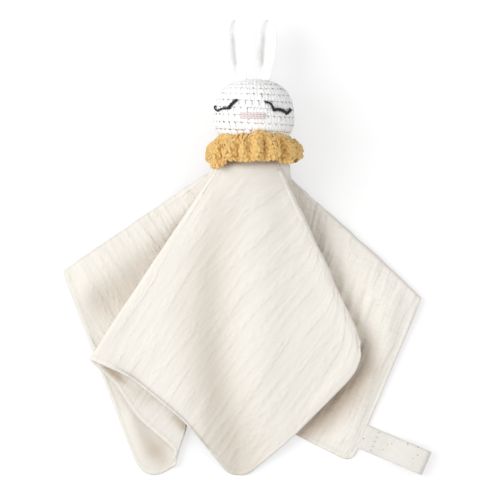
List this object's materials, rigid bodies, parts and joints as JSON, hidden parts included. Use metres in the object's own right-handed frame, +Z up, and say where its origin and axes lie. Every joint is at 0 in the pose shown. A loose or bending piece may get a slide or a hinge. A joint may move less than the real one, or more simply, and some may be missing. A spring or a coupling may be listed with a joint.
{
  "type": "comfort blanket",
  "caption": "Soft comforter: a small crocheted rabbit head with ears and a ruffle collar, sewn to the middle of a folded muslin square with a tape loop on its hem.",
  "frame": {"origin": "on the surface it lies on, under the middle of its outline, the toy lying on its back", "axes": "+Z up from the surface, +Y from the cloth's tip towards the ears, +X to the right of the face as seen from above"},
  "size_m": [0.2358, 0.2952, 0.0575],
  "materials": {
    "muslin": "matte crinkled double gauze",
    "white_cotton": "matte crochet",
    "ochre_cotton": "matte crochet",
    "black_yarn": "matte",
    "pink_yarn": "matte",
    "cream_tape": "matte woven tape",
    "filling": "fluffy"
  },
  "bodies": {
    "blanket": {"muslin_face": "muslin", "muslin_lining": "muslin"},
    "collar": {"ruffle_collar": "ochre_cotton", "neck_knot": "white_cotton"},
    "head": {"head_cover": "white_cotton", "head_stuffing": "filling", "head_gathering_yarn": "white_cotton", "eye_left": "black_yarn", "eye_right": "black_yarn", "nose": "pink_yarn"},
    "ear_left": {"ear_left": "white_cotton"},
    "ear_right": {"ear_right": "white_cotton"},
    "tape_loop": {"loop_tape": "cream_tape", "loop_tack": "white_cotton"}
  },
  "joints": [
    {"name": "neck_nod", "type": "hinge", "parent": "blanket", "child": "collar", "pos_m": [0.00427, 0.05916, 0.0259], "axis": [1, 0, 0], "range_deg": [-15, 25]},
    {"name": "head_turn", "type": "hinge", "parent": "collar", "child": "head", "pos_m": [0.00427, 0.05916, 0.0259], "axis": [0, 1, 0], "range_deg": [-45, 45]},
    {"name": "ear_left_bend", "type": "hinge", "parent": "head", "child": "ear_left", "pos_m": [-0.00473, 0.10954, 0.0259], "axis": [1, 0, 0], "range_deg": [-60, 70], "stiffness_Nm_per_rad": 0.002},
    {"name": "ear_right_bend", "type": "hinge", "parent": "head", "child": "ear_right", "pos_m": [0.01097, 0.10964, 0.0259], "axis": [1, 0, 0], "range_deg": [-60, 70], "stiffness_Nm_per_rad": 0.002},
    {"name": "loop_flip", "type": "hinge", "parent": "blanket", "child": "tape_loop", "pos_m": [0.07528, -0.12174, 0.00095], "axis": [-0.3901, -0.9208, 0], "range_deg": [-90, 90]}
  ]
}
